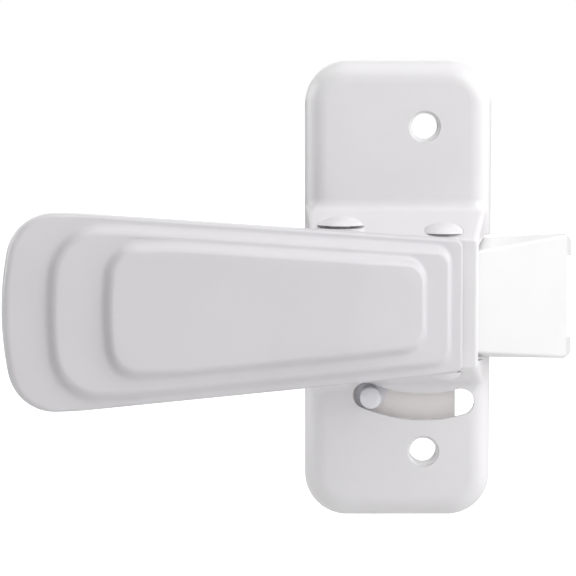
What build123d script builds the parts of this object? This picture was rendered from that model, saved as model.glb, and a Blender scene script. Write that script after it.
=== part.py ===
"""Storm door latch: pressed mounting plate with a raised bridge, a rocking lever
and bolt on one pivot pin, a return spring and a swinging lock arm.

Frame: X to the right (the way the bolt points), Z up (along the pivot pin),
the room is on the -Y side. The origin is half way between the two screw holes,
on the front of the plate. Heights h are measured from that front, h = -Y.
Lengths are in millimetres.
"""
import os
from math import acos, atan2, cos, degrees, hypot, pi, radians, sin, tan

from build123d import *

# Mounting plate
sheet = 1.2
plate_left = 16.2
plate_right = 9.2
plate_above = 31.1
plate_below = 31.4
plate_corner = 5.8
rim_depth = 3.6
rim_round = 3.0
screw_spacing = 44.45
screw_hole_r = 1.8
screw_rim_round = 0.35
screw_collar_wall = 0.8
screw_collar_depth = 2.2

# Bridge over the mechanism
bridge_height = 8.6
bridge_face_half = 8.65
bridge_base_half = 12.0
bridge_drop = 1.0
bridge_right_base = 8.2
bridge_right_face = 6.75
bridge_left_base = 15.9
bridge_left_face = 15.2
bridge_face_round = 0.45
bridge_corner = 0.7
bridge_base_blend = 2.0
mouth_half = 8.45

# Pivot pin and spring anchor pin
pin_x = 2.35
pin_h = 5.2
pin_r = 1.2
pin_head_r = 3.0
pin_dome = 1.45
pin_seat = 9.3
anchor_x = -11.4
anchor_h = 4.6
anchor_r = 1.4
anchor_head_r = 3.1
anchor_dome = 1.2
anchor_seat = 10.3
seat_wall = 0.3
head_lip = 0.35
pin_fit = 0.03
head_fit = 0.01
run_fit = 0.05

# Lever
lever_tilt = 8.7
lever_length = 61.3
lever_rim_h = 9.58
lever_rim_x = 2.2
lever_heel_x = 4.82
lever_tip_half = 12.95
lever_shoulder = 9.3
lever_heel_half = 8.85
lever_tip_arc = 42.0
lever_tip_corner = 6.2
lever_heel_corner = 1.3
lever_side_blend = 18.0
lever_base_thick = 2.5
tier_rise = 1.25
tier_one_side = 1.75
tier_one_tip = 6.6
tier_one_heel = 2.1
tier_two_side = 3.9
tier_two_tip = 13.6
tier_two_heel = 5.3
tier_corner_one = 6.2
tier_corner_two = 3.2
tier_heel_corner_one = 1.9
tier_heel_corner_two = 3.0
tier_top_round = 0.9
lever_edge_round = 1.1
lever_wall = 1.5
lever_web = 1.4
heel_relief = 0.7
heel_relief_run = 2.6
heel_crown = 1.0
heel_crown_run = 12.0
swing = 18.0

# Drive post under the lever
post_inner = 2.6
post_outer = 4.6
post_left = -1.2
post_right = 2.85
post_eye_r = 2.05
post_foot_x = -5.4
post_foot_h = 2.6
lug_h = 3.5
window_gap = 0.3

# Latch bolt
bolt_half_base = 8.2
bolt_flare = 0.209
bolt_wall = 1.2
bolt_tip_x = 19.6
bolt_top_x = 7.0
bolt_top_h = 6.2
bolt_tip_h = -1.35
bolt_back_tip_h = -2.0
bolt_back_h = 0.0
bolt_back_bend_x = 9.0
bolt_tail_x = -6.2
bolt_tail_h = 4.0
bolt_web_left = 5.1
bolt_tab_reach = 0.6
bolt_tab_half = 2.9
bolt_edge_round = 0.45
bolt_tip_corner = 1.4
bolt_blank = 40.0
ear_eye_r = 2.05

# Bushes, rivets and spring
bush_wall = 0.5
bush_flange_r = 2.05
bush_flange_thick = 0.55
drive_rivet_x = -3.4
drive_rivet_h = 2.2
drive_rivet_r = 0.8
drive_rivet_head_r = 1.5
drive_rivet_head = 0.3
wire_r = 0.3
coil_whole_turns = 4
coil_pitch_rate = 1.12
coil_mean_r = 1.8
leg_overrun = 2.0
leg_gap = 0.05
sleeve_wall = 0.2

# Lock
lock_pivot_z = 3.2
slot_radius = 19.3
slot_half = 1.85
slot_left_angle = 23.8
slot_right_angle = 15.3
lock_rest_angle = 22.1
lock_arm_thick = 0.7
lock_arm_gap = 0.6
lock_arm_half = 2.0
lock_eye_r = 3.0
knob_r = 1.43
knob_height = 2.3
knob_foot_r = 1.8
lock_rivet_r = 1.4
lock_rivet_head_r = 2.4
lock_rivet_head = 0.6
wave_thick = 0.2
strap_thick = 0.8
strap_gap = 0.15
strap_right = 4.45
strap_left = 10.4
strap_foot = 3.2
strap_top_z = 13.4
strap_low_z = 19.2
strap_low_right = -3.4


def level(h):
    """The plane parallel to the plate at height h above its front."""
    return Plane.XZ.offset(h)


def side(z):
    """The plane across the pivot pin at height z, with local axes X and Y."""
    return Plane.XY.offset(z)


def strip(points, z_low, z_high):
    """A closed outline of (x, h) points, as a plate between two heights."""
    with BuildPart(mode=Mode.PRIVATE) as made:
        with BuildSketch(side(z_low)):
            with BuildLine():
                Polyline(*[(x, -h) for x, h in points], close=True)
            make_face()
        extrude(amount=z_high - z_low)
    return made.part


def barrel(x, h, r, z_low, z_high):
    """A round bar along the pin direction."""
    low, high = min(z_low, z_high), max(z_low, z_high)
    return Pos(x, -h, (low + high) / 2) * Cylinder(r, high - low, mode=Mode.PRIVATE)


def stud(x, z, r, h_low, h_high):
    """A round bar square to the plate."""
    return Pos(x, -(h_low + h_high) / 2, z) * Rot(90, 0, 0) * Cylinder(r, h_high - h_low, mode=Mode.PRIVATE)


mid = -bridge_drop
wall_slope = (bridge_base_half - bridge_face_half) / bridge_height


def bridge_half(h):
    """Outer half width of the bridge at height h."""
    return bridge_base_half - wall_slope * h


# The mounting plate: outer form, then the hollow behind it
foot_h = -(rim_depth - 1.1)
end_slope_right = (bridge_right_base - bridge_right_face) / bridge_height
end_slope_left = (bridge_left_base - bridge_left_face) / bridge_height


def bridge_block(h_low, h_high, shrink, corner):
    """The tapered block of the bridge, its sides moved in by shrink."""
    with BuildPart(mode=Mode.PRIVATE) as made:
        for h in (h_low, h_high):
            right = bridge_right_base - end_slope_right * h - shrink
            left = bridge_left_base - end_slope_left * h - shrink
            half = bridge_half(h) - shrink
            with BuildSketch(level(h)):
                with Locations(((right - left) / 2, mid)):
                    if corner > 0:
                        RectangleRounded(right + left, 2 * half, corner)
                    else:
                        Rectangle(right + left, 2 * half)
        loft(ruled=True)
    return made.part


plate_width = plate_left + plate_right
plate_height = plate_above + plate_below
plate_mid_x = (plate_right - plate_left) / 2
plate_mid_z = (plate_above - plate_below) / 2

with BuildPart() as outer_form:
    with BuildSketch(level(-rim_depth)):
        with Locations((plate_mid_x, plate_mid_z)):
            RectangleRounded(plate_width, plate_height, plate_corner)
    extrude(amount=rim_depth)
    rim_edges = outer_form.faces().sort_by(Axis.Y)[0].edges()
    fillet(rim_edges, rim_round)
    add(bridge_block(foot_h, bridge_height, 0, bridge_corner))
    face_edges = outer_form.faces().sort_by(Axis.Y)[0].edges()
    fillet(face_edges, bridge_face_round)
    # the sloping walls rise out of the plate in a soft curve
    base_edges = [e for e in outer_form.edges() if abs(e.center().Y) < 0.01 and e.length > 5
                  and abs(abs(e.center().Z - mid) - bridge_base_half) < 0.01]
    fillet(base_edges, bridge_base_blend)

with BuildPart() as inner_form:
    with BuildSketch(level(-rim_depth)):
        with Locations((plate_mid_x, plate_mid_z)):
            RectangleRounded(plate_width - 2 * sheet, plate_height - 2 * sheet,
                             plate_corner - sheet)
    extrude(amount=rim_depth - sheet)
    fillet(inner_form.faces().sort_by(Axis.Y)[0].edges(), rim_round - sheet)
    add(bridge_block(foot_h, bridge_height - sheet, sheet * 1.08, 0))


def slot_point(angle, radius=slot_radius):
    """A point on the lock's arc, by its angle from straight down, in X and Z."""
    return (radius * sin(radians(angle)), lock_pivot_z - radius * cos(radians(angle)))


pivot_head = (pin_x, pin_h, pin_head_r, pin_dome, pin_seat)
anchor_head = (anchor_x, anchor_h, anchor_head_r, anchor_dome, anchor_seat)


def pin_cap(x, h, head_r, dome, seat, sign):
    """One domed head of a pin, its flat side on the seat."""
    ball = (head_r ** 2 + dome ** 2) / (2 * dome)
    lower = mid + sign * seat
    cap = Pos(x, -h, lower + sign * (dome - ball)) * Sphere(ball, mode=Mode.PRIVATE)
    return cap & barrel(x, h, head_r, lower, lower + sign * (dome + 1))


with BuildPart() as mounting_plate:
    add(outer_form.part)
    add(inner_form.part, mode=Mode.SUBTRACT)
    # seats for the pin heads, which are riveted down onto the sloping walls
    for x, h, head_r, dome, seat in (pivot_head, anchor_head):
        for sign in (1, -1):
            add(barrel(x, h, head_r + seat_wall, mid + sign * (seat - sheet),
                       mid + sign * (seat - head_lip)))
            add(pin_cap(x, h, head_r + head_fit, dome + head_fit, seat, sign), mode=Mode.SUBTRACT)
    add(barrel(pin_x, pin_h, pin_r, mid - bridge_base_half, mid + bridge_base_half),
        mode=Mode.SUBTRACT)
    add(barrel(anchor_x, anchor_h, anchor_r, mid - bridge_base_half, mid + bridge_base_half),
        mode=Mode.SUBTRACT)
    # the mouth for the bolt, open to the door side
    mouth_top = bridge_height - sheet
    with BuildSketch(Plane.YZ.offset(bridge_right_face - sheet - 0.9)):
        with BuildLine():
            Polyline((rim_depth + 0.1, mid - mouth_half), (rim_depth + 0.1, mid + mouth_half),
                     (0, mid + mouth_half), (-mouth_top, mid + bridge_half(mouth_top) - sheet * 1.08),
                     (-mouth_top, mid - bridge_half(mouth_top) + sheet * 1.08),
                     (0, mid - mouth_half), close=True)
        make_face()
    extrude(amount=plate_right - bridge_right_face + sheet + 2, mode=Mode.SUBTRACT)
    # the window for the lever's post, hidden under the lever
    window_left = post_left - window_gap
    turned = radians(swing)
    window_right = (pin_x + (post_right - pin_x) / cos(turned)
                    + (bridge_height - pin_h) * tan(turned) + window_gap)
    with BuildSketch(level(mouth_top - 1)):
        with Locations(((window_left + window_right) / 2, mid)):
            RectangleRounded(window_right - window_left, 2 * (post_outer + window_gap), 0.5)
    extrude(amount=sheet + 2, mode=Mode.SUBTRACT)
    # screw holes with drawn collars
    for sign in (1, -1):
        add(stud(0, sign * screw_spacing / 2, screw_hole_r + screw_collar_wall,
                 -screw_collar_depth - sheet, -sheet / 2))
        add(stud(0, sign * screw_spacing / 2, screw_hole_r, -rim_depth, 1), mode=Mode.SUBTRACT)
        with BuildSketch(side(sign * screw_spacing / 2)):
            with BuildLine():
                flare = screw_hole_r + screw_rim_round
                Polyline((screw_hole_r, screw_rim_round), (0, screw_rim_round), (0, -0.2),
                         (flare, -0.2), (flare, 0))
                RadiusArc((flare, 0), (screw_hole_r, screw_rim_round), -screw_rim_round)
            make_face()
        revolve(axis=Axis((0, 0, sign * screw_spacing / 2), (0, 1, 0)), mode=Mode.SUBTRACT)
    # the curved slot for the lock
    with BuildSketch(level(-sheet - 1)):
        with BuildLine(mode=Mode.PRIVATE) as slot_path:
            CenterArc((0, lock_pivot_z), slot_radius, 270 - slot_left_angle,
                      slot_left_angle + slot_right_angle)
        SlotArc(slot_path.edges()[0], 2 * slot_half)
    extrude(amount=sheet + 2, mode=Mode.SUBTRACT)

# Pins: a shank with a domed head at each end


def headed_pin(x, h, r, head_r, dome, seat):
    """A riveted pin along Z, its two domed heads on the seats."""
    with BuildPart(mode=Mode.PRIVATE) as made:
        add(barrel(x, h, r - pin_fit, mid - seat - 0.3, mid + seat + 0.3))
        for sign in (1, -1):
            add(pin_cap(x, h, head_r, dome, seat, sign))
    return made.part


with BuildPart() as pivot_pin:
    add(headed_pin(pin_x, pin_h, pin_r, pin_head_r, pin_dome, pin_seat))

with BuildPart() as spring_anchor_pin:
    add(headed_pin(anchor_x, anchor_h, anchor_r, anchor_head_r, anchor_dome, anchor_seat))

# The lever is drawn flat, with its heel at the right, then tilted and placed.
# Local frame of the drawing: u along X from the heel (0) to the tip (-length).


def lever_outline(side_in, tip_in, heel_in, tip_corner, heel_corner):
    """The lever's outline moved in from the sides, the tip and the heel."""
    u_heel = -heel_in
    u_tip = -lever_length + tip_in
    u_wide = u_tip + lever_shoulder
    taper = (lever_tip_half - lever_heel_half) / (lever_length - lever_shoulder)

    def half(u):
        return lever_heel_half + taper * (-u) - side_in

    bulge = (half(u_tip)) ** 2 / (2 * lever_tip_arc)
    with BuildSketch(mode=Mode.PRIVATE) as made:
        with BuildLine():
            Polyline((u_tip + bulge, -half(u_wide)), (u_wide, -half(u_wide)),
                     (u_heel, -half(u_heel)), (u_heel, half(u_heel)),
                     (u_wide, half(u_wide)), (u_tip + bulge, half(u_wide)))
            ThreePointArc((u_tip + bulge, half(u_wide)), (u_tip, 0),
                          (u_tip + bulge, -half(u_wide)))
        make_face()
        fillet(made.vertices().sort_by(Axis.X)[:2], tip_corner)
        fillet([v for v in made.vertices() if abs(v.X - u_heel) < 0.01], heel_corner)
        fillet([v for v in made.vertices() if abs(v.X - u_wide) < 0.01], lever_side_blend)
    return made.sketch


def crown_cut(thick):
    """What is taken off above a tier of this thickness near the heel."""
    with BuildPart(mode=Mode.PRIVATE) as made:
        with BuildSketch(Plane.XY.offset(-lever_length / 3)):
            with BuildLine():
                TangentArc((-heel_crown_run, -thick), (1, -thick + heel_crown), tangent=(1, 0))
                Polyline((1, -thick + heel_crown), (1, -thick - 3),
                         (-heel_crown_run, -thick - 3), (-heel_crown_run, -thick))
            make_face()
        extrude(amount=2 * lever_length / 3)
    return made.part


def tier(side_in, tip_in, heel_in, tip_corner, heel_corner, low, thick):
    """One step of the lever, from height low to thick over the rim plane."""
    shape = lever_outline(side_in, tip_in, heel_in, tip_corner, heel_corner)
    with BuildPart(mode=Mode.PRIVATE) as made:
        with BuildSketch(level(low)):
            add(shape)
        extrude(amount=thick - low)
        add(crown_cut(thick), mode=Mode.SUBTRACT)
    return made.part


base_top = lever_base_thick
one_top = base_top + tier_rise
two_top = one_top + tier_rise


def rounded_tier(args, low, thick, top_round):
    """A tier with its upper edge rounded."""
    block = tier(*args, low, thick)
    with BuildPart(mode=Mode.PRIVATE) as made:
        add(block)
        top_faces = [f for f in made.faces() if f.center().Y < -(thick - heel_crown - 0.6)
                     and abs(f.normal_at(f.center()).Y) > 0.8]
        edges = []
        for f in top_faces:
            for e in f.edges():
                both = [g for g in top_faces if any(e.is_same(k) for k in g.edges())]
                if len(both) == 1:
                    edges.append(e)
        fillet(edges, top_round)
    return made.part


base_args = (0, 0, 0, lever_tip_corner, lever_heel_corner)
one_args = (tier_one_side, tier_one_tip, tier_one_heel, tier_corner_one, tier_heel_corner_one)
two_args = (tier_two_side, tier_two_tip, tier_two_heel, tier_corner_two, tier_heel_corner_two)

with BuildPart() as lever_flat:
    add(rounded_tier(base_args, 0, base_top, lever_edge_round))
    add(rounded_tier(one_args, lever_web / 2, one_top, tier_top_round))
    add(rounded_tier(two_args, lever_web, two_top, tier_top_round))
    # hollow behind: follows the steps at one wall thickness
    hollow = (lever_wall, lever_wall, lever_wall, lever_tip_corner - lever_wall, 0.6)
    add(tier(*hollow, -0.5, base_top - lever_web), mode=Mode.SUBTRACT)
    hollow_one = (tier_one_side + lever_wall, tier_one_tip + lever_wall, tier_one_heel + lever_wall,
                  tier_corner_one - lever_wall, 0.6)
    add(tier(*hollow_one, -0.5, one_top - lever_web), mode=Mode.SUBTRACT)
    hollow_two = (tier_two_side + lever_wall, tier_two_tip + lever_wall, tier_two_heel + lever_wall,
                  tier_corner_two - 0.8, 0.6)
    add(tier(*hollow_two, -0.5, two_top - lever_web), mode=Mode.SUBTRACT)
    # the heel's underside rises so that it clears the bridge when the lever is pulled
    with BuildSketch(side(-lever_length / 3)):
        with BuildLine():
            Polyline((-heel_relief_run, 0.6), (-heel_relief_run, 0), (0, -heel_relief),
                     (1, -heel_relief), (1, 0.6), close=True)
        make_face()
    extrude(amount=2 * lever_length / 3, mode=Mode.SUBTRACT)

lever_turn = Rot(0, 0, lever_tilt)
heel_rim_h = lever_rim_h - (lever_heel_x - lever_rim_x) * tan(radians(lever_tilt))
lever_place = Pos(lever_heel_x, -heel_rim_h, mid)
lever_shell = lever_place * lever_turn * lever_flat.part

post_top_h = heel_rim_h + 2.6
with BuildPart() as lever:
    add(lever_shell)
    for sign in (1, -1):
        z_low = mid + (post_inner if sign > 0 else -post_outer)
        z_high = mid + (post_outer if sign > 0 else -post_inner)
        add(strip([(post_right, post_top_h), (post_right, pin_h), (pin_x, pin_h - post_eye_r),
                   (post_foot_x, post_foot_h - 1.2), (post_foot_x, post_foot_h + 0.6),
                   (post_left, pin_h + 0.5), (post_left, post_top_h + 1.0)], z_low, z_high))
        add(barrel(pin_x, pin_h, post_eye_r, z_low, z_high))
    # a small lug that the moving leg of the spring rests on
    add(strip([(post_foot_x, lug_h - 1.4), (post_foot_x + 1.5, lug_h - 1.4),
               (post_foot_x + 1.5, lug_h), (post_foot_x, lug_h)],
              mid - post_inner - 0.3, mid - 1.2))
    add(barrel(pin_x, pin_h, pin_r + run_fit, mid - 6, mid + 6), mode=Mode.SUBTRACT)
    add(barrel(drive_rivet_x, drive_rivet_h, drive_rivet_r, mid - 6, mid + 6),
        mode=Mode.SUBTRACT)

# The latch bolt: a tapered channel with a ramp, and two ears on the pin


def bolt_half(h):
    """Outer half width of the bolt at height h."""
    return bolt_half_base - bolt_flare * h


def bolt_bar(shrink):
    """The flared bar the bolt is cut from, its sides moved in by shrink."""
    top, low = 8.5, -3.5
    with BuildPart(mode=Mode.PRIVATE) as made:
        with BuildSketch(Plane.YZ.offset(bolt_tail_x - 1)):
            with BuildLine():
                Polyline((-low, mid - bolt_half(low) + shrink), (-low, mid + bolt_half(low) - shrink),
                         (-top, mid + bolt_half(top) - shrink), (-top, mid - bolt_half(top) + shrink),
                         close=True)
            make_face()
        extrude(amount=bolt_tip_x - bolt_tail_x + 4)
    return made.part


ramp = (bolt_top_h - bolt_tip_h) / (bolt_tip_x - bolt_top_x)
tab_x = bolt_tip_x + bolt_tab_reach
tab_h = bolt_tip_h - ramp * bolt_tab_reach * 0.4
ear_top = pin_h + ear_eye_r

profile = [(bolt_tail_x, bolt_back_h + 0.6), (bolt_tail_x + 0.6, bolt_back_h),
           (bolt_back_bend_x, bolt_back_h), (tab_x, bolt_back_tip_h), (tab_x, tab_h),
           (bolt_tip_x, bolt_tip_h), (bolt_top_x, bolt_top_h), (bolt_top_x - 1.2, bolt_top_h + 0.2),
           (pin_x + 1.0, ear_top - 0.4), (pin_x - 0.3, ear_top - 0.15), (bolt_tail_x, bolt_tail_h)]
web_drop = bolt_wall * (1 + ramp ** 2) ** 0.5
inside = [(bolt_tail_x - 2, -4), (bolt_tip_x + 3, -4), (bolt_tip_x + 3, bolt_tip_h - ramp * 3 - web_drop),
          (bolt_top_x, bolt_top_h - web_drop), (bolt_web_left, bolt_top_h + 0.2 - bolt_wall),
          (bolt_web_left, 9), (bolt_tail_x - 2, 9)]

with BuildPart() as latch_bolt:
    add(strip(profile, mid - 12, mid + 12))
    add(bolt_bar(0), mode=Mode.INTERSECT)
    front = [e for e in latch_bolt.edges()
             if e.center().X > bolt_top_x + 1 and e.center().X < bolt_tip_x
             and abs(e.center().Z - mid) > 5 and e.length > 8
             and -e.center().Y > 0]
    fillet(front, bolt_edge_round)
    # the two outer corners of the tip are rounded off
    widest = bolt_half(bolt_back_tip_h)
    with BuildSketch(level(-5)):
        with Locations((tab_x - bolt_blank / 2, mid)):
            RectangleRounded(bolt_blank, 2 * widest, bolt_tip_corner)
    extrude(amount=20, mode=Mode.INTERSECT)
    hollow_bolt = strip(inside, mid - 12, mid + 12) & bolt_bar(bolt_wall)
    add(hollow_bolt, mode=Mode.SUBTRACT)
    # the web is cut back between two short tabs at the tip
    with BuildSketch(Plane.XZ.offset(-5)):
        with Locations((bolt_tip_x + 1.5, mid)):
            Rectangle(3, 2 * (bolt_half(bolt_tip_h) - bolt_tab_half))
    extrude(amount=12, mode=Mode.SUBTRACT)
    # flat round seats and bores in the ears
    for sign in (1, -1):
        add(barrel(pin_x, pin_h, bush_flange_r + 0.05, mid + sign * bolt_half(pin_h),
                   mid + sign * 12), mode=Mode.SUBTRACT)
    add(barrel(pin_x, pin_h, pin_r + run_fit + bush_wall, mid - 12, mid + 12), mode=Mode.SUBTRACT)
    add(barrel(drive_rivet_x, drive_rivet_h, drive_rivet_r, mid - 12, mid + 12),
        mode=Mode.SUBTRACT)

# Flanged bushes in the ears
bush_seat = bolt_half(pin_h)


def ear_bush(sign):
    """A flanged bush in one ear of the bolt."""
    with BuildPart(mode=Mode.PRIVATE) as made:
        add(barrel(pin_x, pin_h, pin_r + run_fit + bush_wall, mid + sign * (post_outer + 0.1),
                   mid + sign * bush_seat))
        add(barrel(pin_x, pin_h, bush_flange_r, mid + sign * bush_seat,
                   mid + sign * (bush_seat + bush_flange_thick)))
        add(barrel(pin_x, pin_h, pin_r + run_fit, mid - 12, mid + 12), mode=Mode.SUBTRACT)
    return made.part


with BuildPart() as pivot_bush_upper:
    add(ear_bush(1))
with BuildPart() as pivot_bush_lower:
    add(ear_bush(-1))


def drive_rivet(sign):
    """A rivet through one ear and one cheek of the post."""
    inner_z = post_inner + 0.2
    lean = bolt_flare * drive_rivet_head_r + 0.03
    ear_in = bolt_half(drive_rivet_h) - bolt_wall - lean
    ear_out = bolt_half(drive_rivet_h) + lean
    with BuildPart(mode=Mode.PRIVATE) as made:
        add(barrel(drive_rivet_x, drive_rivet_h, drive_rivet_r, mid + sign * inner_z,
                   mid + sign * ear_out))
        add(barrel(drive_rivet_x, drive_rivet_h, drive_rivet_head_r, mid + sign * ear_out,
                   mid + sign * (ear_out + drive_rivet_head)))
        add(barrel(drive_rivet_x, drive_rivet_h, drive_rivet_head_r - 0.2,
                   mid + sign * post_outer, mid + sign * ear_in))
    return made.part


with BuildPart() as drive_rivet_upper:
    add(drive_rivet(1))
with BuildPart() as drive_rivet_lower:
    add(drive_rivet(-1))

# Sleeve and torsion spring on the pin, between the cheeks of the post
with BuildPart() as spring_sleeve:
    add(barrel(pin_x, pin_h, pin_r + run_fit + sleeve_wall, mid - post_inner + 0.1,
               mid + post_inner - 0.1))
    add(barrel(pin_x, pin_h, pin_r + run_fit / 2, mid - 4, mid + 4), mode=Mode.SUBTRACT)

# the fixed leg rests under the anchor pin, the moving one on the lug
fixed_end = (anchor_x - leg_overrun, -(anchor_h - anchor_r - wire_r - leg_gap))
moving_end = (post_foot_x + wire_r, -(lug_h + wire_r + leg_gap * 1.6))


def leaving_angle(point, way):
    """Where on the coil a leg to this point leaves it, as an angle about the pin."""
    dx, dy = point[0] - pin_x, point[1] + pin_h
    return degrees(atan2(dy, dx)) + way * degrees(acos(coil_mean_r / hypot(dx, dy)))


start_angle = leaving_angle(moving_end, 1)
end_angle = leaving_angle(fixed_end, -1)
coil_turns = coil_whole_turns + (end_angle - start_angle) % 360 / 360
coil_pitch = 2 * wire_r * coil_pitch_rate
coil_half = coil_turns * coil_pitch / 2
coil_climb = coil_pitch / (2 * pi * coil_mean_r)


def leg_end(foot, end, way):
    """Where a leg ends that goes on from the coil at the coil's own slope."""
    run = hypot(end[0] - foot.X, end[1] - foot.Y)
    return Vector(end[0], end[1], foot.Z + way * run * coil_climb)


coil = Helix(pitch=coil_pitch, height=2 * coil_half, radius=coil_mean_r)
coil = Pos(pin_x, -pin_h, mid - coil_half) * Rot(0, 0, start_angle) * coil
moving_leg = Edge.make_line(leg_end(coil @ 0, moving_end, -1), coil @ 0)
fixed_leg = Edge.make_line(coil @ 1, leg_end(coil @ 1, fixed_end, 1))
spring_path = Wire([moving_leg, coil.edges()[0], fixed_leg])
with BuildPart() as return_spring:
    with BuildSketch(Plane(origin=spring_path @ 0, z_dir=spring_path % 0)):
        Circle(wire_r)
    sweep(path=spring_path)

# Back strap that carries the lock: Z-bent, welded to the back of the plate
arm_front = sheet + lock_arm_gap
arm_back = arm_front + lock_arm_thick
strap_front = arm_back + strap_gap
strap_back = strap_front + strap_thick
with BuildPart() as back_strap:
    with BuildSketch(Plane.YZ.offset(-strap_left)):
        with BuildLine():
            Polyline((strap_front, -strap_low_z + 0.2), (strap_front, strap_top_z - 1.0),
                     (sheet, strap_top_z), (sheet, strap_top_z + strap_foot),
                     (sheet + strap_thick, strap_top_z + strap_foot),
                     (sheet + strap_thick, strap_top_z + 0.4),
                     (strap_back, strap_top_z - 0.6), (strap_back, -strap_low_z - 0.2),
                     (sheet + strap_thick, -strap_low_z - 1.2),
                     (sheet + strap_thick, -strap_low_z - 1.0 - strap_foot),
                     (sheet, -strap_low_z - 1.0 - strap_foot),
                     (sheet, -strap_low_z - 0.8), close=True)
        make_face()
    extrude(amount=strap_left + strap_right)
    with BuildSketch(level(-rim_depth - 1)):
        with Locations(((strap_low_right + strap_right + 2) / 2, -strap_low_z - 3)):
            Rectangle(strap_right + 2 - strap_low_right, 6.2)
    extrude(amount=rim_depth + 1, mode=Mode.SUBTRACT)
    add(stud(0, lock_pivot_z, lock_rivet_r, -rim_depth - 1, 1), mode=Mode.SUBTRACT)

with BuildPart() as lock_rivet:
    head_back = arm_front - wave_thick - 0.05
    add(stud(0, lock_pivot_z, lock_rivet_r, -strap_back, -head_back))
    add(stud(0, lock_pivot_z, lock_rivet_head_r, -head_back, -head_back + lock_rivet_head))
    chamfer(lock_rivet.faces().sort_by(Axis.Y)[0].edges(), lock_rivet_head * 0.4)

with BuildPart() as lock_wave_washer:
    add(stud(0, lock_pivot_z, lock_rivet_head_r + 0.1, -arm_front + 0.02, -arm_front + 0.02 + wave_thick))
    add(stud(0, lock_pivot_z, lock_rivet_r + run_fit, -6, 3), mode=Mode.SUBTRACT)

knob_x, knob_z = slot_point(-lock_rest_angle)
with BuildPart() as lock_arm:
    with BuildSketch(level(-arm_back)):
        with Locations((0, lock_pivot_z)):
            Circle(lock_eye_r)
        with Locations((knob_x, knob_z)):
            Circle(lock_arm_half)
        with BuildLine():
            a = radians(lock_rest_angle)
            nx, nz = cos(a), -sin(a)
            w_eye, w_end = lock_arm_half * 0.95, lock_arm_half
            Polyline((nx * w_eye, lock_pivot_z + nz * w_eye), (knob_x + nx * w_end, knob_z + nz * w_end),
                     (knob_x - nx * w_end, knob_z - nz * w_end),
                     (-nx * w_eye, lock_pivot_z - nz * w_eye), close=True)
        make_face()
    extrude(amount=lock_arm_thick)
    add(stud(0, lock_pivot_z, lock_rivet_r + run_fit, -6, 3), mode=Mode.SUBTRACT)
    add(stud(knob_x, knob_z, knob_r * 0.75, -6, 3), mode=Mode.SUBTRACT)

with BuildPart() as lock_knob:
    add(stud(knob_x, knob_z, knob_r * 0.75, -arm_back, -arm_front))
    add(stud(knob_x, knob_z, knob_r, -arm_front, knob_height))
    fillet(lock_knob.faces().sort_by(Axis.Y)[0].edges(), knob_r * 0.55)
with BuildPart() as lock_collar:
    add(stud(knob_x, knob_z, knob_foot_r, -arm_front, -arm_front + 0.25))
    add(stud(knob_x, knob_z, knob_r, -6, 6), mode=Mode.SUBTRACT)

os.makedirs("parts", exist_ok=True)
mounting_plate.part.label = "mounting_plate"
export_step(mounting_plate.part, "parts/mounting_plate.step")
pivot_pin.part.label = "pivot_pin"
export_step(pivot_pin.part, "parts/pivot_pin.step")
spring_anchor_pin.part.label = "spring_anchor_pin"
export_step(spring_anchor_pin.part, "parts/spring_anchor_pin.step")
lever.part.label = "lever"
export_step(lever.part, "parts/lever.step")
latch_bolt.part.label = "latch_bolt"
export_step(latch_bolt.part, "parts/latch_bolt.step")
pivot_bush_upper.part.label = "pivot_bush_upper"
export_step(pivot_bush_upper.part, "parts/pivot_bush_upper.step")
pivot_bush_lower.part.label = "pivot_bush_lower"
export_step(pivot_bush_lower.part, "parts/pivot_bush_lower.step")
drive_rivet_upper.part.label = "drive_rivet_upper"
export_step(drive_rivet_upper.part, "parts/drive_rivet_upper.step")
drive_rivet_lower.part.label = "drive_rivet_lower"
export_step(drive_rivet_lower.part, "parts/drive_rivet_lower.step")
spring_sleeve.part.label = "spring_sleeve"
export_step(spring_sleeve.part, "parts/spring_sleeve.step")
return_spring.part.label = "return_spring"
export_step(return_spring.part, "parts/return_spring.step")
back_strap.part.label = "back_strap"
export_step(back_strap.part, "parts/back_strap.step")
lock_rivet.part.label = "lock_rivet"
export_step(lock_rivet.part, "parts/lock_rivet.step")
lock_wave_washer.part.label = "lock_wave_washer"
export_step(lock_wave_washer.part, "parts/lock_wave_washer.step")
lock_arm.part.label = "lock_arm"
export_step(lock_arm.part, "parts/lock_arm.step")
lock_knob.part.label = "lock_knob"
export_step(lock_knob.part, "parts/lock_knob.step")
lock_collar.part.label = "lock_collar"
export_step(lock_collar.part, "parts/lock_collar.step")
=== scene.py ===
"""Storm door latch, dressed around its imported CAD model."""
from math import atan2, cos, pi, radians, sin, sqrt

import bmesh
import bpy
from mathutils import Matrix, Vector


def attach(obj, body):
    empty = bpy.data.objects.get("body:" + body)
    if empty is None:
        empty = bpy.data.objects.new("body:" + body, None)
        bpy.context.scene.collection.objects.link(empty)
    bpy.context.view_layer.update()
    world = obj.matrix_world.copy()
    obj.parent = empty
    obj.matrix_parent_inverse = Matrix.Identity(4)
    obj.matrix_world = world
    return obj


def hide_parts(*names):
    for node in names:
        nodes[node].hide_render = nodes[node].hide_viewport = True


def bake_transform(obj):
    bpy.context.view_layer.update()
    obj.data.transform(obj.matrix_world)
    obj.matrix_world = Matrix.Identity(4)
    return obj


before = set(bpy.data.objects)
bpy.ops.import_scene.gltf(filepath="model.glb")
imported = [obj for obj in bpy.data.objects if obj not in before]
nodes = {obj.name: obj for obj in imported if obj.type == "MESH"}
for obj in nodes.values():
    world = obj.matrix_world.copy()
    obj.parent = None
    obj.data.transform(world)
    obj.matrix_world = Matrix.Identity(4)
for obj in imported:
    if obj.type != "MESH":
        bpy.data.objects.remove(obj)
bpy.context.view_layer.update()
MM = 0.001
WHITE = (1, 1, 1, 1)
bpy.context.scene.view_settings.view_transform = "Standard"

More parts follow.
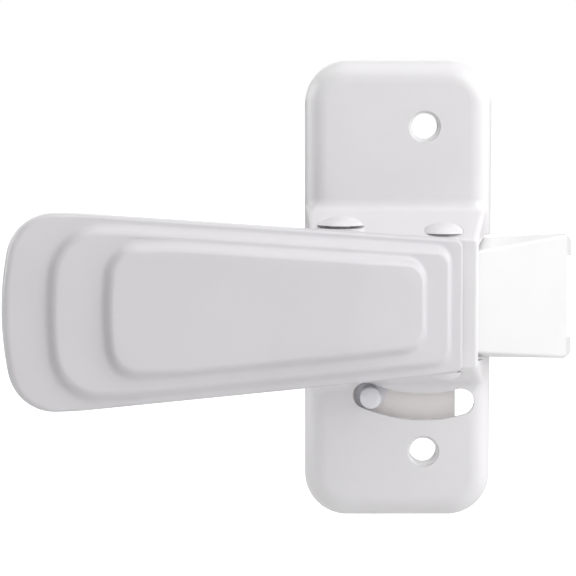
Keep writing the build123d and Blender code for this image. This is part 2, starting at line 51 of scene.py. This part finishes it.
# ---- camera: square to the plate and a little above, aimed at the middle of the whole part
CAMERA_DISTANCE = 0.400
CAMERA_ELEVATION = 6.0
CAMERA_TARGET = (-18.52 * MM, 0.0, 0.27 * MM)
CAMERA_LENS = 183.6
SENSOR = 36.0
CLIP_NEAR, CLIP_FAR = 0.01, 20


def add_camera():
    """The camera of the photograph's view."""
    data = bpy.data.cameras.new("view")
    data.lens = CAMERA_LENS
    data.sensor_width = SENSOR
    data.clip_start = CLIP_NEAR
    data.clip_end = CLIP_FAR
    cam = bpy.data.objects.new("view", data)
    tilt = radians(CAMERA_ELEVATION)
    cam.location = Vector(CAMERA_TARGET) + CAMERA_DISTANCE * Vector((0, -cos(tilt), sin(tilt)))
    cam.rotation_euler = (radians(90) - tilt, 0, 0)
    bpy.context.scene.collection.objects.link(cam)
    bpy.context.scene.camera = cam


# ---- light: soft square lamps, each a name, a place in metres, a side in metres and a power in watts
LAMP_AIM = (-0.01, 0, 0)
LAMPS = (
    ("key", (0.42, -0.42, 0.40), 0.60, 3.1),
    ("right", (0.60, 0.00, 0.05), 0.60, 2.5),
    ("top", (0.02, -0.06, 0.60), 0.70, 2.25),
    ("left", (-0.60, 0.10, 0.08), 0.50, 2.1),
    ("low", (-0.02, -0.17, -0.05), 0.28, 0.11),
    ("back", (0.00, 0.55, 0.30), 0.50, 0.3),
)
AMBIENT = 0.01


def add_lamp(name, place, size, power):
    """A soft square lamp that points at the object."""
    data = bpy.data.lights.new(name, "AREA")
    data.shape = "SQUARE"
    data.size = size
    data.energy = power
    lamp = bpy.data.objects.new(name, data)
    lamp.location = place
    lamp.rotation_euler = (Vector(LAMP_AIM) - Vector(place)).to_track_quat("-Z", "Y").to_euler()
    bpy.context.scene.collection.objects.link(lamp)


def add_node(tree, kind, values=None, **settings):
    """A new shader node with its input values and its own settings."""
    node = tree.nodes.new("ShaderNode" + kind)
    for key, value in (values or {}).items():
        node.inputs[key].default_value = value
    for key, value in settings.items():
        setattr(node, key, value)
    return node


def add_world():
    """White to the camera, in reflections and through glass, and a faint light on the object."""
    world = bpy.data.worlds.new("studio")
    bpy.context.scene.world = world
    world.use_nodes = True
    tree = world.node_tree
    tree.nodes.clear()
    link = tree.links.new
    out = add_node(tree, "OutputWorld")
    mix = add_node(tree, "MixShader")
    seen = add_node(tree, "Background", {"Color": WHITE, "Strength": 1.0})
    light = add_node(tree, "Background", {"Color": WHITE, "Strength": AMBIENT})
    path = add_node(tree, "LightPath")
    first = add_node(tree, "Math", operation="MAXIMUM")
    most = add_node(tree, "Math", operation="MAXIMUM")
    link(path.outputs["Is Camera Ray"], first.inputs[0])
    link(path.outputs["Is Transmission Ray"], first.inputs[1])
    link(first.outputs[0], most.inputs[0])
    link(path.outputs["Is Glossy Ray"], most.inputs[1])
    link(most.outputs[0], mix.inputs[0])
    link(light.outputs[0], mix.inputs[1])
    link(seen.outputs[0], mix.inputs[2])
    link(mix.outputs[0], out.inputs[0])


# ---- floor: a grey that glows to the camera, a little more with its distance from the object
FLOOR_HALF, FLOOR_Z = 3.0, -0.052
FLOOR_GREY = (0.85, 0.85, 0.85, 1)
GLOW = {"From Min": 0.1, "From Max": 0.7, "To Min": 0.75, "To Max": 1.0}


def add_floor():
    """A pale floor below the object, which keeps its shadow."""
    mesh = bpy.data.meshes.new("floor")
    r, z = FLOOR_HALF, FLOOR_Z
    mesh.from_pydata([(-r, -r, z), (r, -r, z), (r, r, z), (-r, r, z)], [], [(0, 1, 2, 3)])
    floor = bpy.data.objects.new("floor", mesh)
    bpy.context.scene.collection.objects.link(floor)
    mat = bpy.data.materials.new("floor")
    mat.use_nodes = True
    tree = mat.node_tree
    tree.nodes.clear()
    link = tree.links.new
    out = add_node(tree, "OutputMaterial")
    both = add_node(tree, "AddShader")
    matt = add_node(tree, "BsdfDiffuse", {"Color": FLOOR_GREY})
    glow = add_node(tree, "Emission")
    path = add_node(tree, "LightPath")
    where = add_node(tree, "NewGeometry")
    away = add_node(tree, "VectorMath", operation="LENGTH")
    rise = add_node(tree, "MapRange", GLOW)
    scale = add_node(tree, "Math", operation="MULTIPLY")
    link(where.outputs["Position"], away.inputs[0])
    link(away.outputs["Value"], rise.inputs["Value"])
    link(path.outputs["Is Camera Ray"], scale.inputs[0])
    link(rise.outputs["Result"], scale.inputs[1])
    link(scale.outputs[0], glow.inputs["Strength"])
    link(matt.outputs[0], both.inputs[0])
    link(glow.outputs[0], both.inputs[1])
    link(both.outputs[0], out.inputs[0])
    mesh.materials.append(mat)


class Surface:
    """A procedural material in the making."""

    def __init__(self, name):
        self.mat = bpy.data.materials.new(name)
        self.mat.use_nodes = True
        self.tree = self.mat.node_tree
        self.shader = self.tree.nodes["Principled BSDF"]
        self.where = add_node(self.tree, "TexCoord").outputs["Object"]

    def noise(self, scale, detail):
        """Noise over the object's own coordinates."""
        noise = add_node(self.tree, "TexNoise", {"Scale": scale, "Detail": detail})
        self.tree.links.new(self.where, noise.inputs["Vector"])
        return noise.outputs["Fac"]

    def shade(self, noise, colour, shares, spread=(0.0, 1.0)):
        """The colour, between two shares of itself."""
        tone = add_node(self.tree, "ValToRGB")
        for stop, share, position in zip(tone.color_ramp.elements, shares, spread):
            stop.position = position
            stop.color = (*[min(1, c * share) for c in colour], 1)
        self.tree.links.new(noise, tone.inputs["Fac"])
        self.tree.links.new(tone.outputs["Color"], self.shader.inputs["Base Color"])

    def roughen(self, noise, low, high):
        """The roughness, between two values."""
        span = add_node(self.tree, "MapRange", {"To Min": low, "To Max": high})
        self.tree.links.new(noise, span.inputs["Value"])
        self.tree.links.new(span.outputs["Result"], self.shader.inputs["Roughness"])

    def bump(self, noise, strength, distance, edge=None):
        """Fine relief, on edges softened by a bevel where a radius is given."""
        bump = add_node(self.tree, "Bump", {"Strength": strength, "Distance": distance})
        self.tree.links.new(noise, bump.inputs["Height"])
        if edge:
            soft = add_node(self.tree, "Bevel", {"Radius": edge}, samples=8)
            self.tree.links.new(soft.outputs["Normal"], bump.inputs["Normal"])
        self.tree.links.new(bump.outputs["Normal"], self.shader.inputs["Normal"])


def paint(name, colour, edge):
    """Glossy paint, faintly clouded, with a slight orange peel and soft edges of a radius in mm."""
    made = Surface(name)
    made.shade(made.noise(scale=90, detail=3), colour, shares=(0.985, 1.012), spread=(0.35, 0.65))
    made.roughen(made.noise(scale=420, detail=4), low=0.31, high=0.39)
    made.bump(made.noise(scale=900, detail=2), strength=0.10, distance=0.04 * MM, edge=edge * MM)
    made.shader.inputs["Coat Weight"].default_value = 0.15
    made.shader.inputs["Coat Roughness"].default_value = 0.2
    return made.mat


def metal(name, colour, roughness=0.32):
    """Bright plated steel with a fine uneven polish."""
    made = Surface(name)
    made.shader.inputs["Metallic"].default_value = 1.0
    grain = made.noise(scale=900, detail=6)
    made.shade(grain, colour, shares=(0.82, 1.1))
    made.roughen(grain, low=roughness - 0.08, high=roughness + 0.12)
    made.bump(grain, strength=0.15, distance=0.02 * MM)
    return made.mat


def plastic(name, colour):
    """Moulded nylon: satin, faintly mottled."""
    made = Surface(name)
    mottle = made.noise(scale=700, detail=4)
    made.shade(mottle, colour, shares=(0.92, 1.04))
    made.roughen(mottle, low=0.42, high=0.56)
    made.bump(mottle, strength=0.12, distance=0.03 * MM)
    return made.mat


def dress(node, mat):
    """Gives a CAD node its material."""
    mesh = nodes[node].data
    mesh.materials.clear()
    mesh.materials.append(mat)


PLATE_WHITE = (0.785, 0.772, 0.785)
# the lever's white is greyer than the plate's: the same white paint with a painted shade on it
LEVER_WHITE_WITH_PAINTED_SHADE = (0.640, 0.626, 0.647)
BOLT_WHITE = (0.795, 0.79, 0.79)
KNOB_WHITE = (0.78, 0.78, 0.82)
# the strap's white paint is brightened beyond the other whites: painted light on a strap that lies in shade
# behind the plate
STRAP_WHITE_WITH_PAINTED_LIGHT = (0.97, 0.93, 0.92)
STEEL = (0.62, 0.62, 0.63)
SPRING_STEEL = (0.50, 0.50, 0.52)
NYLON = (0.72, 0.70, 0.64)

# node, material, colour and the radius of its soft edges in mm
PAINTED = (
    ("mounting_plate", "plate_paint", PLATE_WHITE, 0.12),
    ("pivot_pin", "pin_paint", PLATE_WHITE, 0.1),
    ("spring_anchor_pin", "anchor_paint", PLATE_WHITE, 0.1),
    ("latch_bolt", "bolt_paint", BOLT_WHITE, 0.2),
    ("lock_knob", "knob_paint", KNOB_WHITE, 0.1),
    ("lock_collar", "collar_paint", KNOB_WHITE, 0.05),
    ("lock_arm", "arm_paint", KNOB_WHITE, 0.1),
    # the strap's white carries painted light over its white paint
    ("back_strap", "strap_paint_with_painted_light", STRAP_WHITE_WITH_PAINTED_LIGHT, 0.1),
)


def dress_nodes():
    """Gives every CAD node that stays in view its finish."""
    for node, name, colour, edge in PAINTED:
        dress(node, paint(name, colour, edge))
    dress("lock_rivet", metal("rivet_steel", STEEL))
    dress("lock_wave_washer", metal("washer_steel", STEEL, roughness=0.26))
    dress("drive_rivet_upper", metal("drive_steel_upper", STEEL))
    dress("drive_rivet_lower", metal("drive_steel_lower", STEEL))
    dress("pivot_bush_upper", plastic("bush_nylon_upper", NYLON))
    dress("pivot_bush_lower", plastic("bush_nylon_lower", NYLON))
    dress("spring_sleeve", plastic("sleeve_nylon", NYLON))


# ---- lever, in millimetres. It is drawn flat, with its heel at u = 0 and its tip at u = -LENGTH,
# then tilted into place. v goes up from its middle line, t is the height over the plane of its rim.
LENGTH = 61.3
TILT = radians(8.7)
HEEL_X, HEEL_H, MID_Z = 4.82, 9.179, -1.0
HEEL_HALF, TIP_HALF = 8.85, 12.95
SHOULDER = 9.3  # from the tip to where the sides begin to taper
BLEND = 2.6  # half the run over which they do
TIP_ARC = 42.0
TAPER = (TIP_HALF - HEEL_HALF) / (LENGTH - SHOULDER)
TOPS = (2.5, 3.75, 5.0)  # heights of the three tiers
WALL, WEB = 1.5, 1.4  # the casting's thickness at its sides and tops
EDGE, EDGE_SPREAD = 0.8, (0.5, 1.3, 0.5)  # the outer edge's round, and its share at side, tip, heel
RIM_BREAK = 0.12
CROWN_RUN, CROWN_DROP, CROWN_POWER, CROWN_LOW = 16.0, 1.5, 1.6, 0.45
RELIEF_RUN, RELIEF = 2.6, 0.7
# outlines: how far in at side, tip and heel, then the radius of the tip's and the heel's corners
RIM = (0.0, 0.0, 0.38, 6.2, 1.3)
TIER_ONE = (1.5, 6.15, 2.35, 6.2, 2.0)
TIER_TWO = (3.55, 13.35, 5.95, 3.8, 2.8)
HOLLOW = (WALL, WALL, WALL, 4.7, 0.6)
HOLLOW_ONE = (*[inward + WALL for inward in TIER_ONE[:3]], 4.7, 0.8)
HOLLOW_TWO = (*[inward + WALL for inward in TIER_TWO[:3]], 2.8, 1.2)
TIGHTEST_TIP, TIGHTEST_HEEL = 0.8, 0.35
TIER_TWO_UP = 0.35  # the top tier sits this much above the middle line
STEP_WIDTH = (2.0, 2.2, 1.2)  # a step's width at side, tip, heel
# points along half an outline, and rings across the shell
HEEL_STEPS, HEEL_CORNER_STEPS, SIDE_STEPS, TIP_CORNER_STEPS, TIP_STEPS = 6, 10, 70, 20, 12
EDGE_RINGS, STEP_RINGS, TOP_RINGS = 8, 16, 10


def arc_points(centre_u, centre_v, radius, start, end, steps):
    """Points along an arc, without its last one."""
    turns = [start + (end - start) * i / steps for i in range(steps)]
    return [(centre_u + radius * cos(a), centre_v + radius * sin(a)) for a in turns]


def lever_ring(side_in, tip_in, heel_in, tip_corner, heel_corner):
    """A closed outline of the lever moved inward, always with the same points in one order."""
    heel, tip = -heel_in, -LENGTH + tip_in
    wide = tip + SHOULDER
    heel_half = HEEL_HALF - side_in
    top = heel_half - TAPER * wide
    heel_u = heel - heel_corner
    heel_v = heel_half - TAPER * heel_u - heel_corner * sqrt(1 + TAPER ** 2)
    half = [(heel, heel_v * i / HEEL_STEPS) for i in range(HEEL_STEPS)]
    end = atan2(1, TAPER)
    half += arc_points(heel_u, heel_v, heel_corner, 0, end, HEEL_CORNER_STEPS)
    side_u = heel_u + heel_corner * cos(end)
    arc_u = tip + TIP_ARC
    corner_u = arc_u - sqrt((TIP_ARC - tip_corner) ** 2 - (top - tip_corner) ** 2)
    corner_v = top - tip_corner
    for i in range(SIDE_STEPS):
        u = side_u + (corner_u - side_u) * i / SIDE_STEPS
        gap = u - wide
        if gap > BLEND:
            v = top - TAPER * gap
        elif gap > -BLEND:
            v = top - TAPER * (gap + BLEND) ** 2 / (4 * BLEND)
        else:
            v = top
        half.append((u, v))
    turn = atan2(corner_v, corner_u - arc_u)
    half += arc_points(corner_u, corner_v, tip_corner, pi / 2, turn, TIP_CORNER_STEPS)
    half += arc_points(arc_u, 0, TIP_ARC, turn, pi, TIP_STEPS)
    half.append((tip, 0.0))
    return half + [(u, -v) for u, v in half[-2:0:-1]]


def crown(u, top):
    """How far a surface that lies at the height top curves down near the heel, the higher the more."""
    share = CROWN_LOW + (1 - CROWN_LOW) * max(0.0, (top - TOPS[0]) / (TOPS[1] - TOPS[0]))
    return share * CROWN_DROP * max(0.0, (u + CROWN_RUN) / CROWN_RUN) ** CROWN_POWER


def relief(u):
    """How far the rim's lower edge rises near the heel."""
    return max(0.0, (u + RELIEF_RUN) / RELIEF_RUN) * RELIEF


def inset(outline, inward, spread=(1.0, 1.0, 1.0)):
    """An outline's values moved in at side, tip and heel, corners drawn tighter by the same."""
    side_in, tip_in, heel_in, tip_corner, heel_corner = outline
    side, tip, heel = (inward * share for share in spread)
    return (side_in + side, tip_in + tip, heel_in + heel,
            max(TIGHTEST_TIP, tip_corner - side), max(TIGHTEST_HEEL, heel_corner - heel))


def lever_place(u, v, t):
    """From the flat drawing to the shared frame, in metres."""
    x = HEEL_X + u * cos(TILT) + t * sin(TILT)
    y = -HEEL_H + u * sin(TILT) - t * cos(TILT)
    return Vector((x, y, MID_Z + v)) * MM


def shrink(ring, share):
    """The ring drawn together towards its middle line, keeping its ends apart."""
    us = [u for u, v in ring]
    low, high = min(us), max(us)
    half = max(v for u, v in ring)
    keep = ((high - low) - 2 * (1 - share) * half) / (high - low)
    middle = (low + high) / 2
    return [(middle + (u - middle) * keep, v * share) for u, v in ring]


def hollow_rings():
    """The hollow's ceiling, from its middle down two steps to the rim's inner wall."""
    low, middle, high = (top - WEB for top in TOPS)
    one, two = lever_ring(*HOLLOW_ONE), lever_ring(*HOLLOW_TWO)
    levels = [(shrink(two, share), high) for share in (0.0, 0.2, 0.4, 0.6, 0.8)]
    levels += [(two, high), (two, middle), (one, middle), (one, low), (lever_ring(*HOLLOW), low)]
    return [[(u, v, height - crown(u, height + WEB)) for u, v in ring] for ring, height in levels]


def rim_rings():
    """Round the rim's lower edge, up the outer wall and over its rounded edge."""
    rings = []
    for inward, up in ((WALL, RIM_BREAK), (WALL - RIM_BREAK, 0.0), (RIM_BREAK, 0.0), (0.0, RIM_BREAK)):
        rings.append([(u, v, relief(u) + up) for u, v in lever_ring(*inset(RIM, inward))])
    for share in (0.35, 0.7):
        rings.append([(u, v, relief(u) * (1 - share) + share * (TOPS[0] - EDGE - crown(u, 0)))
                      for u, v in lever_ring(*RIM)])
    for i in range(EDGE_RINGS + 1):
        a = pi / 2 * i / EDGE_RINGS
        height = TOPS[0] - EDGE * (1 - sin(a))
        ring = lever_ring(*inset(RIM, EDGE * (1 - cos(a)), EDGE_SPREAD))
        rings.append([(u, v, height - crown(u, height)) for u, v in ring])
    return rings


def tier_rings():
    """Up the two soft steps and in to the middle of the top."""
    rings = []
    for outline, low, high, up in ((TIER_ONE, TOPS[0], TOPS[1], 0.0),
                                   (TIER_TWO, TOPS[1], TOPS[2], TIER_TWO_UP)):
        for i in range(STEP_RINGS + 1):
            q = i / STEP_RINGS
            height = low + (high - low) * (4 * q ** 3 if q < 0.5 else 1 - 4 * (1 - q) ** 3)
            ring = lever_ring(*inset(outline, q - 0.5, STEP_WIDTH))
            rings.append([(u, v + up, height - crown(u, height)) for u, v in ring])
    top = [(u, v - TIER_TWO_UP) for u, v, t in rings[-1]]
    for i in range(1, TOP_RINGS + 1):
        ring = shrink(top, 1 - i / TOP_RINGS)
        rings.append([(u, v + TIER_TWO_UP, TOPS[2] - crown(u, TOPS[2])) for u, v in ring])
    return rings


# ---- the lever's two cheeks and spring lug, in mm: x to the right, h out from the plate
PIN_X, PIN_H, EYE_R, PIN_BORE = 2.35, 5.2, 2.05, 1.25
POST_IN, POST_OUT, POST_LEFT, POST_RIGHT = 2.6, 4.6, -1.2, 2.85
POST_WAIST_H, POST_TOP_LEFT_H, POST_TOP_RIGHT_H = 5.7, 12.7, 11.7
FOOT_X, FOOT_LOW, FOOT_HIGH = -5.4, 1.4, 3.2
RIVET = (-3.4, 2.2, 0.8)  # x, h, radius
LUG_LOW, LUG_HIGH, LUG_WIDE = 2.1, 3.5, 1.5
LUG_SINK, LUG_END = 0.3, 1.2  # how deep the lug roots in its cheek, and how near the middle it ends
EYE_START, EYE_SPAN, EYE_STEPS = -118, 194, 24  # the eye's outline, in degrees
HOLE_POINTS = 40


def flat_part(name, outline, holes, z_low, z_high):
    """A plate cut to an outline of (x, h) points, with round holes, between two heights."""
    data = bpy.data.curves.new(name, "CURVE")
    data.dimensions = "2D"
    data.fill_mode = "BOTH"
    data.extrude = (z_high - z_low) / 2 * MM
    rounds = [arc_points(x, h, r, 0, 2 * pi, HOLE_POINTS) for x, h, r in holes]
    for points in [outline] + rounds:
        line = data.splines.new("POLY")
        line.points.add(len(points) - 1)
        line.use_cyclic_u = True
        for point, (x, h) in zip(line.points, points):
            point.co = (x * MM, -h * MM, 0, 1)
    made = bpy.data.objects.new(name, data)
    bpy.context.scene.collection.objects.link(made)
    bpy.context.view_layer.update()
    mesh = bpy.data.meshes.new_from_object(made.evaluated_get(bpy.context.evaluated_depsgraph_get()))
    bpy.data.objects.remove(made)
    bpy.data.curves.remove(data)
    for v in mesh.vertices:
        v.co.z += (z_low + z_high) / 2 * MM
    return mesh


def post_parts():
    """The two cheeks that go through the bridge to the pin, and the lug for the spring's leg."""
    turns = [radians(EYE_START + EYE_SPAN * i / EYE_STEPS) for i in range(EYE_STEPS + 1)]
    cheek = [(POST_LEFT, POST_TOP_LEFT_H), (POST_LEFT, POST_WAIST_H), (FOOT_X, FOOT_HIGH), (FOOT_X, FOOT_LOW)]
    cheek += [(PIN_X + EYE_R * cos(a), PIN_H + EYE_R * sin(a)) for a in turns]
    cheek.append((POST_RIGHT, POST_TOP_RIGHT_H))
    holes = [(PIN_X, PIN_H, PIN_BORE), RIVET]
    lug = [(FOOT_X, LUG_LOW), (FOOT_X + LUG_WIDE, LUG_LOW), (FOOT_X + LUG_WIDE, LUG_HIGH), (FOOT_X, LUG_HIGH)]
    return (flat_part("cheek_a", cheek, holes, MID_Z + POST_IN, MID_Z + POST_OUT),
            flat_part("cheek_b", cheek, holes, MID_Z - POST_OUT, MID_Z - POST_IN),
            flat_part("lug", lug, [], MID_Z - POST_IN - LUG_SINK, MID_Z - LUG_END))


MERGE = 0.001 * MM
SHARP = radians(38)


def add_lever():
    """The die-cast lever: stepped shell, hollow behind, with its two cheeks and the spring lug."""
    bm = bmesh.new()
    rings = [[bm.verts.new(lever_place(*point)) for point in ring]
             for ring in hollow_rings() + rim_rings() + tier_rings()]
    for low, high in zip(rings, rings[1:]):
        for i in range(len(low)):
            j = (i + 1) % len(low)
            bm.faces.new((low[i], low[j], high[j], high[i]))
    bmesh.ops.remove_doubles(bm, verts=bm.verts, dist=MERGE)
    bmesh.ops.dissolve_degenerate(bm, edges=bm.edges, dist=MERGE / 2)
    for mesh in post_parts():
        bm.from_mesh(mesh)
        bpy.data.meshes.remove(mesh)
    bmesh.ops.remove_doubles(bm, verts=bm.verts, dist=MERGE)
    bmesh.ops.recalc_face_normals(bm, faces=bm.faces)
    mesh = bpy.data.meshes.new("lever_casting")
    bm.to_mesh(mesh)
    bm.free()
    mesh.shade_smooth()
    mesh.set_sharp_from_angle(angle=SHARP)
    lever = bpy.data.objects.new("lever_casting", mesh)
    bpy.context.scene.collection.objects.link(lever)
    # the casting takes the greyer white, a painted shade over the plate's white paint
    mesh.materials.append(paint("casting_paint_with_painted_shade", LEVER_WHITE_WITH_PAINTED_SHADE, edge=0.15))
    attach(lever, "latch")
    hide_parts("lever")


def add_spring():
    """The return spring between its fixed leg and the leg on the latch, copied from the CAD node."""
    mesh = nodes["return_spring"].data.copy()
    mesh.name = "torsion_spring"
    mesh.materials.clear()
    mesh.materials.append(metal("spring_steel", SPRING_STEEL, roughness=0.24))
    spring = bpy.data.objects.new("torsion_spring", mesh)
    bpy.context.scene.collection.objects.link(spring)
    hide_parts("return_spring")
    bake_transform(spring)


dress_nodes()
add_lever()
add_spring()
add_camera()
add_world()
add_floor()
for name, place, size, power in LAMPS:
    add_lamp(name, place, size, power)
